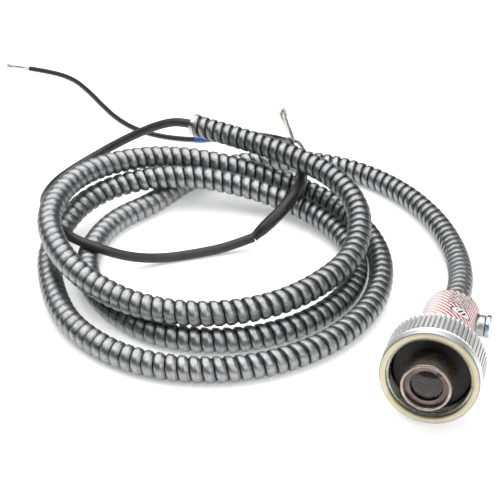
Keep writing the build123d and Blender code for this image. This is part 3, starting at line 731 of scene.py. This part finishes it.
class PROBE_OT_stage(bpy.types.Operator):
    """Lay the floor, hang the lamps and set the camera"""
    bl_idname = "probe.stage"
    bl_label = "Stage"

    def execute(self, context):
        settings = context.scene.probe_stage
        outline = [(-3, -3, 0), (3, -3, 0), (3, 3, 0), (-3, 3, 0)]
        mesh = bpy.data.meshes.new("floor")
        mesh.from_pydata(outline, [], [(0, 1, 2, 3)])
        floor = finished("floor", mesh, Matrix.Identity(4), finish_of("studio_floor"), smooth=0)

        # a bright ceiling over dark walls, so that the metals keep their contrast
        world = bpy.data.worlds.new("Studio")
        world.use_nodes = True
        tree = world.node_tree
        sky = tree.nodes["Background"]
        way = add(tree, "ShaderNodeTexCoord").outputs["Generated"]
        height = add(tree, "ShaderNodeSeparateXYZ", {0: way}).outputs[2]
        ceiling = between(tree, height, 0.35, 0.8, 0.22, settings.sky)
        seen = add(tree, "ShaderNodeLightPath").outputs["Is Camera Ray"]
        tree.links.new(mix(tree, seen, ceiling, 1.0), sky.inputs["Strength"])
        context.scene.world = world
        context.scene.view_settings.view_transform = "Standard"
        middle = Vector((-0.1, 0.05, 0))
        for name, place, size, power in (
                ("overhead lamp", (-0.35, 0.25, 1.2), 2.0, settings.key_power),
                ("side lamp", (0.9, -0.6, 0.9), 1.2, settings.key_power * 0.3)):
            lamp = bpy.data.lights.new(name, "AREA")
            lamp.size, lamp.energy = size, power
            thing = bpy.data.objects.new(name, lamp)
            thing.location = place
            thing.rotation_euler = (middle - Vector(place)).to_track_quat("-Z", "Y").to_euler()
            context.scene.collection.objects.link(thing)

        camera = bpy.data.objects.new("camera", bpy.data.cameras.new("camera"))
        camera.data.sensor_width = 36.0
        camera.data.lens = settings.lens
        camera.location = settings.camera_at
        camera.rotation_euler = Vector(CAMERA_WAY).to_track_quat("-Z", "Y").to_euler()
        context.scene.collection.objects.link(camera)
        context.scene.camera = camera
        return {"FINISHED"}


def coil_points():
    """The loose turns: a point every COIL_STEP degrees, with its radius and height from COIL_SHAPE."""
    points = []
    for angle in range(COIL_FIRST, COIL_LAST + 1, COIL_STEP):
        before = max((shape for shape in COIL_SHAPE if shape[0] <= angle), key=lambda shape: shape[0])
        after = min((shape for shape in COIL_SHAPE if shape[0] > angle), key=lambda shape: shape[0])
        share = (angle - before[0]) / (after[0] - before[0])
        radius, height = (a + share * (b - a) for a, b in zip(before[1:], after[1:]))
        points.append((COIL_CENTRE[0] + radius * cos(radians(angle)),
                       COIL_CENTRE[1] + radius * sin(radians(angle)), height))
    return points


class PROBE_OT_conduit(bpy.types.Operator):
    """Wind the flexible steel conduit along its whole route, and put the bushing on its end"""
    bl_idname = "probe.conduit"
    bl_label = "Conduit"

    def execute(self, context):
        settings = context.scene.probe_conduit
        on_axis = [tuple(HEAD_MM @ Vector((0, y, 0)) / MM) for y in AXIS_RUN]
        path = route_line(on_axis + LEAD_ROUTE + coil_points() + TAIL_ROUTE)
        mesh = grown(winding_tree(), line_mesh(path), radius=settings.diameter / 2, pitch=settings.pitch,
                     valley=settings.valley, material=finish_of("galvanised_strip"))
        conduit = finished("steel_conduit", mesh, Matrix.Identity(4), finish_of("galvanised_strip"), smooth=0)
        settle(conduit, "galvanised_strip", "conduit_lead", "conduit_coil", "conduit_tail")

        end, before = Vector(TAIL_ROUTE[-1]), Vector(TAIL_ROUTE[-2])
        place = Matrix.Translation(end * MM) @ (end - before).to_track_quat("Y", "Z").to_matrix().to_4x4()
        outer, inner, hole = END_BUSHING_R, END_BUSHING_BORE, END_BUSHING_HOLE
        outline = rounded([(-2.2, inner, 0.1), (-2.2, outer), (1, outer, 0.7), (1, hole), (0.1, hole),
                           (0.1, inner, 0)], 0.2)
        bushing = finished("end_bushing", lathe(outline, 64), place @ Matrix.Scale(MM, 4),
                           finish_of("bright_zinc"))
        settle(bushing, "bright_zinc", "conduit_end_bushing")
        return {"FINISHED"}


class PROBE_OT_leads(bpy.types.Operator):
    """Lay the signal cable, its heat shrink, the lead wire and the shield pigtail"""
    bl_idname = "probe.leads"
    bl_label = "Cable and leads"

    def execute(self, context):
        settings = context.scene.probe_leads
        sheath, strands = sheath_tree(), strands_tree()
        flat = Matrix.Identity(4)

        def covered(name, points, diameter, slot, nodes, **more):
            sizes = {"radius": diameter / 2, "start_radius": diameter / 2, "end_radius": diameter / 2, **more}
            mesh = grown(sheath, line_mesh(points), material=finish_of(slot), **sizes)
            return settle(finished(name, mesh, flat, finish_of(slot), smooth=60), slot, *nodes)

        cable_line = route_line([TAIL_ROUTE[-1]] + CABLE_ROUTE)
        cable = covered("signal_cable_jacket", cable_line, settings.cable, "cable_jacket", ["signal_cable"])
        sleeve_line = route_line(SHRINK_ROUTE)
        sleeve = covered("heat_shrink", sleeve_line, settings.sleeve, "heat_shrink", ["heat_shrink_sleeve"],
                         start_radius=0.00275, end_radius=0.0024, taper=0.009, ripple=0.0006,
                         ripple_size=0.007)

        wire_line = route_line(WIRE_ROUTE)
        wire = covered("lead_wire_insulation", wire_line, settings.wire, "black_jacket", ["lead_wire"],
                       columns=16)
        start, end = Vector(WIRE_ROUTE[MARKER_RUN - 1]) * MM, Vector(WIRE_ROUTE[MARKER_RUN]) * MM
        middle = start.lerp(end, 0.95)
        near = [p for p in wire_line if (Vector(p) - middle).length < 0.0052]
        marker = covered("wire_marker", near, MARKER_DIAMETER * MM, "blue_marker", ["marker_sleeve"],
                         columns=20, start_radius=0.0016, end_radius=0.0016, taper=0.0006, step=0.0003)
        tip = Vector(WIRE_ROUTE[-1]) * MM
        way = (tip - Vector(WIRE_ROUTE[-2]) * MM).normalized()
        core_line = [tuple(tip + way * reach) for reach in (-0.001, 0.002, 0.004)]
        core = covered("core_insulation_end", core_line,
                       CORE_DIAMETER * MM, "cream_insulation", ["core_insulation"], columns=16, step=0.0005)
        bare_line = [tuple(tip + way * (0.003 + 0.001 * k) + Vector((0, 0, -0.0004 * k / 16)))
                     for k in range(17)]
        mesh = grown(strands, line_mesh(bare_line), strands=7, strand_radius=0.00026,
                     bundle_radius=0.00045, lay=0.011, fray=0.0006, fray_length=0.006, step=0.0006,
                     material=finish_of("tinned_copper"))
        bare = finished("bare_strands", mesh, flat, finish_of("tinned_copper"))
        settle(bare, "tinned_copper", "bare_conductor")

        pigtail_line = route_line(PIGTAIL_ROUTE)
        mesh = grown(strands, line_mesh(pigtail_line), strands=9, strand_radius=0.0004, bundle_radius=0.0008,
                     lay=0.016, fray=0.0017, fray_length=0.024, step=0.001,
                     material=finish_of("tinned_copper"))
        pigtail = finished("shield_strands", mesh, flat, finish_of("tinned_copper"))
        settle(pigtail, "tinned_copper", "shield_pigtail")
        return {"FINISHED"}


def collar_sector(teeth, depth, columns=10):
    """One flute's sector of the collar, as an open strip of its closed outline."""
    rows = [(0.0, 21.3, 0), (0.0, 22.4, 0), (0.0, COLLAR_R - 0.7, 0), (0.12, COLLAR_R - 0.3, 0),
            (0.35, COLLAR_R - 0.08, 0), (0.7, COLLAR_R, 0), (3.0, COLLAR_R, 0),
            (KNURL_START - 0.3, COLLAR_R, 0), (KNURL_START - 0.05, COLLAR_R + 0.08, 0)]
    flute_rows = 30
    for k in range(flute_rows + 1):
        rows.append((KNURL_START + 0.15 + (KNURL_END - KNURL_START - 0.5) * k / flute_rows, KNURL_R, 1))
    rows += [(KNURL_END - 0.05, KNURL_R - 0.12, 0), (KNURL_END + 0.15, KNURL_R - 0.45, 0),
             (KNURL_END + 0.4, COLLAR_BACK_R + 0.2, 0), (COLLAR_LENGTH - 1.6, COLLAR_BACK_R, 0),
             (COLLAR_LENGTH - 0.8, COLLAR_BACK_R - 0.12, 0), (COLLAR_LENGTH - 0.25, COLLAR_BACK_R - 0.5, 0),
             (COLLAR_LENGTH, COLLAR_BACK_R - 1.1, 0), (COLLAR_LENGTH, 18.0, 0),
             (COLLAR_LENGTH, WEB_BORE_R + 0.3, 0), (COLLAR_LENGTH - 0.3, WEB_BORE_R, 0),
             (WEB_FRONT + 0.3, WEB_BORE_R, 0), (WEB_FRONT, WEB_BORE_R + 0.3, 0),
             (WEB_FRONT, THREAD_ROOT_R - 0.3, 0), (WEB_FRONT - 0.3, THREAD_ROOT_R, 0),
             (8.0, THREAD_ROOT_R, 0),
             (0.6, THREAD_ROOT_R, 0), (0.25, THREAD_ROOT_R + 0.1, 0)]
    sector = 2 * pi / teeth
    tooth_mm = KNURL_R * sector
    dead_end = KNURL_END - 1.9
    verts, faces, straw, painted_shade = [], [], [], []
    for y, r, fluted in rows:
        for k in range(columns + 1):
            t = k / columns
            cut = 0.0
            if fluted:
                beyond, short = max(0.0, y - dead_end), max(0.0, 6.3 - y)
                off_line = sqrt(((t - 0.5) * tooth_mm) ** 2 + beyond**2 + short**2)
                share = min(max((0.8 - off_line) / 0.4, 0.0), 1.0)
                cut = depth * share * share * (3 - 2 * share)
            angle = t * sector
            verts.append(((r - cut) * cos(angle), y, (r - cut) * sin(angle)))
            straw.append(1.0 if y < 0.05 or (r < 21.4 and y < 1.0) else 0.0)
            # painted shade: full on the rounded front edge, and in each flute in step with its cut depth
            painted_shade.append(1.4 if 0.1 < y < 0.5 and r > 23 else 0.7 * cut / depth)
    for row in range(len(rows)):
        after = (row + 1) % len(rows)
        for k in range(columns):
            a, b = row * (columns + 1) + k, after * (columns + 1) + k
            faces.append((a, b, b + 1, a + 1))
    mesh = bpy.data.meshes.new("sector")
    mesh.from_pydata(verts, [], faces)
    for name, values in (("face", straw), ("slot", painted_shade)):
        mesh.attributes.new(name, "FLOAT", "POINT").data.foreach_set("value", values)
    return mesh


def outward(mesh):
    """The same mesh with its doubles merged and its faces pointing out."""
    shape = bmesh.new()
    shape.from_mesh(mesh)
    bmesh.ops.remove_doubles(shape, verts=shape.verts, dist=1e-5)
    bmesh.ops.recalc_face_normals(shape, faces=shape.faces)
    shape.to_mesh(mesh)
    shape.free()
    return mesh


class PROBE_OT_collar(bpy.types.Operator):
    """Make the coupling collar with its flutes and its pipe thread"""
    bl_idname = "probe.collar"
    bl_label = "Coupling collar"

    def execute(self, context):
        settings = context.scene.probe_head
        sector = collar_sector(settings.teeth, settings.flute)
        mesh = grown(round_axis_tree(), sector, copies=settings.teeth, material=finish_of("plated_collar"))
        collar = finished("fluted_collar", outward(mesh), HEAD_MM, finish_of("plated_collar"), smooth=50)
        settle(collar, "plated_collar", "coupling_collar", body="collar")

        metal = finish_of("thread_metal")
        ridge = grown(screw_thread_tree(), line_mesh([(0, 0, 0), (0, 1, 0)]), pitch=THREAD_PITCH,
                      root=THREAD_ROOT_R, crest=THREAD_CREST_R, length=THREAD_LENGTH, material=metal)
        place = HEAD_MM @ Matrix.Translation((0, THREAD_START, 0))
        thread = finished("collar_thread", ridge, place, metal, 60)
        settle(thread, "plated_collar", body="collar")
        return {"FINISHED"}


class PROBE_OT_nose(bpy.types.Operator):
    """Make the nose barrel, its snap ring and its lens"""
    bl_idname = "probe.nose"
    bl_label = "Nose and lens"

    def execute(self, context):
        outline = rounded([(-NOSE_PROUD, LIP_BORE_R, 0.8), (-NOSE_PROUD, NOSE_R, 1.2),
                           (NOSE_SHOULDER, NOSE_R), (NOSE_SHOULDER, SPIGOT_R), (NOSE_END, SPIGOT_R),
                           (NOSE_END, NOSE_BORE_R),
                           (LENS_SEAT, NOSE_BORE_R), (LENS_SEAT, LENS_BORE_R), (RING_BACK, LENS_BORE_R),
                           (RING_BACK, LIP_BORE_R)], 0.15, 5)
        barrel = finished("nose_barrel_turned", lathe(outline, 160), HEAD_MM, finish_of("nose_metal"), 50)
        settle(barrel, "nose_metal", "nose_barrel")

        # a snap ring: a flat ring with a gap at its upper right
        gap_at, gap, columns = radians(52), radians(16), 96
        inner, outer = SNAP_RING_INNER, SNAP_RING_OUTER
        verts, faces = [], []
        for k in range(columns + 1):
            angle = gap_at + gap / 2 + (2 * pi - gap) * k / columns
            for y, r in ((RING_FRONT, inner + 0.15), (RING_FRONT, outer), (RING_BACK, outer),
                         (RING_BACK, inner), (RING_FRONT + 0.2, inner)):
                verts.append((r * cos(angle), y, r * sin(angle)))
        for k in range(columns):
            for j in range(5):
                a, b = 5 * k + j, 5 * k + (j + 1) % 5
                faces.append((a, b, b + 5, a + 5))
        faces += [tuple(range(5)), tuple(range(5 * columns, 5 * columns + 5))]
        mesh = bpy.data.meshes.new("snap ring")
        mesh.from_pydata(verts, [], faces)
        ring = finished("snap_ring", outward(mesh), HEAD_MM, finish_of("ring_metal"), 40)
        settle(ring, "ring_metal", "lens_retaining_ring")

        curve_r, land = 24.0, 7.6
        sag = curve_r - sqrt(curve_r**2 - land**2)
        radii = [land * k / 12 for k in range(13)]
        dome = [(RING_BACK - sag + curve_r - sqrt(curve_r**2 - r**2), r) for r in radii]
        outline = dome + [(RING_BACK, LENS_R), (LENS_BACK, LENS_R), (LENS_BACK, 0.0)]
        glass = finished("condenser_lens", lathe(outline, 96), HEAD_MM, finish_of("lens_glass"), 30)
        settle(glass, "lens_glass", "lens")
        return {"FINISHED"}


class PROBE_OT_housing(bpy.types.Operator):
    """Make the housing with its clamp boss, the label on it and the clamp screw"""
    bl_idname = "probe.housing"
    bl_label = "Housing, label and screw"

    def execute(self, context):
        settings = context.scene.probe_head
        back = COLLAR_LENGTH + 0.2
        outline = rounded([(BODY_START, SPIGOT_R + 0.05), (BODY_START, BODY_R), (back, BODY_R),
                           (back, BODY_R - 0.6), (back + 1.2, BODY_R - 0.6), (back + 1.2, BODY_R),
                           (BODY_END, BODY_R, 1.6),
                           (BODY_END, CONDUIT_BORE_R, 0.6), (52, CONDUIT_BORE_R), (52, 10), (36, 10),
                           (36, SPIGOT_R + 0.05)], 0.2, 5)
        shell = lathe(outline, 128)
        outline = rounded([(12.4, 3.05), (12.4, BOSS_R + 1.6, 0.1), (14.2, BOSS_R + 0.35, 1.0),
                           (15.0, BOSS_R, 0.6), (BOSS_FACE, BOSS_R, 0.7), (BOSS_FACE, 3.05)], 0.2, 4)
        boss = lathe(outline, 64)
        boss.transform(Matrix.Translation((0, CLAMP_Y, 0)) @ Matrix.Rotation(-pi / 2, 4, "Z"))
        housing = finished("housing_shell", joined(shell, boss), HEAD_MM, finish_of("housing_metal"), 50)
        settle(housing, "housing_metal", "body_housing")

        rows, columns, thick = 44, 84, 0.18
        label_r = BODY_R + 0.02
        verts, faces, flat = [], [], []
        for layer in (0, 1):
            for i in range(rows + 1):
                for j in range(columns + 1):
                    angle = radians(LABEL_FROM + (LABEL_TO - LABEL_FROM) * j / columns)
                    y = LABEL_START + (LABEL_END - LABEL_START) * i / rows
                    r = label_r + thick * layer
                    verts.append((r * cos(angle), y, r * sin(angle)))
                    flat.append((label_r * (angle - radians(LABEL_FROM)), y - LABEL_START))
        size = (rows + 1) * (columns + 1)
        for i in range(rows):
            for j in range(columns):
                a = i * (columns + 1) + j
                faces.append((a, a + 1, a + columns + 2, a + columns + 1))
                faces.append(tuple(size + k for k in (a, a + columns + 1, a + columns + 2, a + 1)))
        rim = [j for j in range(columns + 1)] + [(i + 1) * (columns + 1) + columns for i in range(rows)]
        rim += [rows * (columns + 1) + columns - 1 - j for j in range(columns)]
        rim += [(rows - 1 - i) * (columns + 1) for i in range(rows - 1)]
        for a, b in zip(rim, rim[1:] + rim[:1]):
            faces.append((a, size + a, size + b, b))
        mesh = bpy.data.meshes.new("label")
        mesh.from_pydata(verts, [], faces)
        layer = mesh.uv_layers.new(name="label")
        for loop in mesh.loops:
            layer.data[loop.index].uv = flat[loop.vertex_index]
        shape = bmesh.new()
        shape.from_mesh(mesh)
        bmesh.ops.recalc_face_normals(shape, faces=shape.faces)
        shape.to_mesh(mesh)
        shape.free()
        label = finished("printed_label", mesh, HEAD_MM, finish_of("label_film"), 40)
        settle(label, "label_film", "body_label")

        # the screw: a slotted cheese head on its shank
        slot = settings.slot_width / 2
        outline = rounded([(8.1, 0.0, 0), (8.1, 1.6), (9.5, 1.6), (9.5, 3.0), (SCREW_UNDER, 3.0, 0.3),
                           (SCREW_UNDER, SCREW_HEAD_R, 0.25), (SCREW_TOP, SCREW_HEAD_R, 0.7),
                           (SCREW_TOP, 0.0, 0)], 0.15, 5)
        head = lathe(outline, 72)
        head.transform(Matrix.Rotation(-pi / 2, 4, "Z"))
        at_clamp = Matrix.Translation((0, CLAMP_Y, 0))
        screw = finished("slotted_screw", head, at_clamp, finish_of("blue_zinc"), 40)
        cutter_mesh = bpy.data.meshes.new("cutter")
        cutter = bmesh.new()
        bmesh.ops.create_cube(cutter, size=1.0)
        cutter.to_mesh(cutter_mesh)
        cutter.free()
        cutter_size = Matrix.Diagonal((2.2, 2 * slot, 20, 1))
        cutter_mesh.transform(Matrix.Translation((SCREW_TOP, CLAMP_Y, 0)) @ cutter_size)
        knife = bpy.data.objects.new("cutter", cutter_mesh)
        context.scene.collection.objects.link(knife)
        cut = screw.modifiers.new("slot", "BOOLEAN")
        cut.operation, cut.object, cut.solver = "DIFFERENCE", knife, "EXACT"
        mesh = bpy.data.meshes.new_from_object(screw.evaluated_get(context.evaluated_depsgraph_get()))
        bpy.data.objects.remove(screw)
        bpy.data.objects.remove(knife)
        screw = finished("clamp_screw_slotted", mesh, HEAD_MM, finish_of("blue_zinc"), 35)
        settle(screw, "blue_zinc", "clamp_screw", body="screw")
        return {"FINISHED"}


class PROBE_OT_inner_pieces(bpy.types.Operator):
    """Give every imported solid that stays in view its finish"""
    bl_idname = "probe.inner_pieces"
    bl_label = "Inner pieces"

    def execute(self, context):
        slots = {part["node"]: part["material_slot"] for part in frame["record"]["subparts"]}
        for name, node in frame["nodes"].items():
            node.data.materials.clear()
            node.data.materials.append(finish_of(slots[name]))
        return {"FINISHED"}


class PROBE_PT_panel(bpy.types.Panel):
    """Lists the steps that make the probe"""
    bl_idname = "PROBE_PT_panel"
    bl_label = "Flame sensor probe"
    bl_space_type = "VIEW_3D"
    bl_region_type = "UI"
    bl_category = "Probe"

    def draw(self, context):
        for step in STEPS:
            self.layout.operator(step.bl_idname)


STEPS = (PROBE_OT_stage, PROBE_OT_conduit, PROBE_OT_leads, PROBE_OT_inner_pieces, PROBE_OT_collar,
         PROBE_OT_nose, PROBE_OT_housing)
SETTINGS = {"probe_stage": StageSettings, "probe_conduit": ConduitSettings, "probe_leads": LeadSettings,
            "probe_head": HeadSettings, "probe_colours": ColourSettings}


def register():
    for kind in (*SETTINGS.values(), *STEPS, PROBE_PT_panel):
        bpy.utils.register_class(kind)
    for name, kind in SETTINGS.items():
        setattr(bpy.types.Scene, name, bpy.props.PointerProperty(type=kind))


def unregister():
    for name in SETTINGS:
        delattr(bpy.types.Scene, name)
    for kind in reversed((*SETTINGS.values(), *STEPS, PROBE_PT_panel)):
        bpy.utils.unregister_class(kind)


def main():
    register()
    for step in STEPS:
        group, action = step.bl_idname.split(".")
        getattr(getattr(bpy.ops, group), action)()


if __name__ == "__main__":
    main()
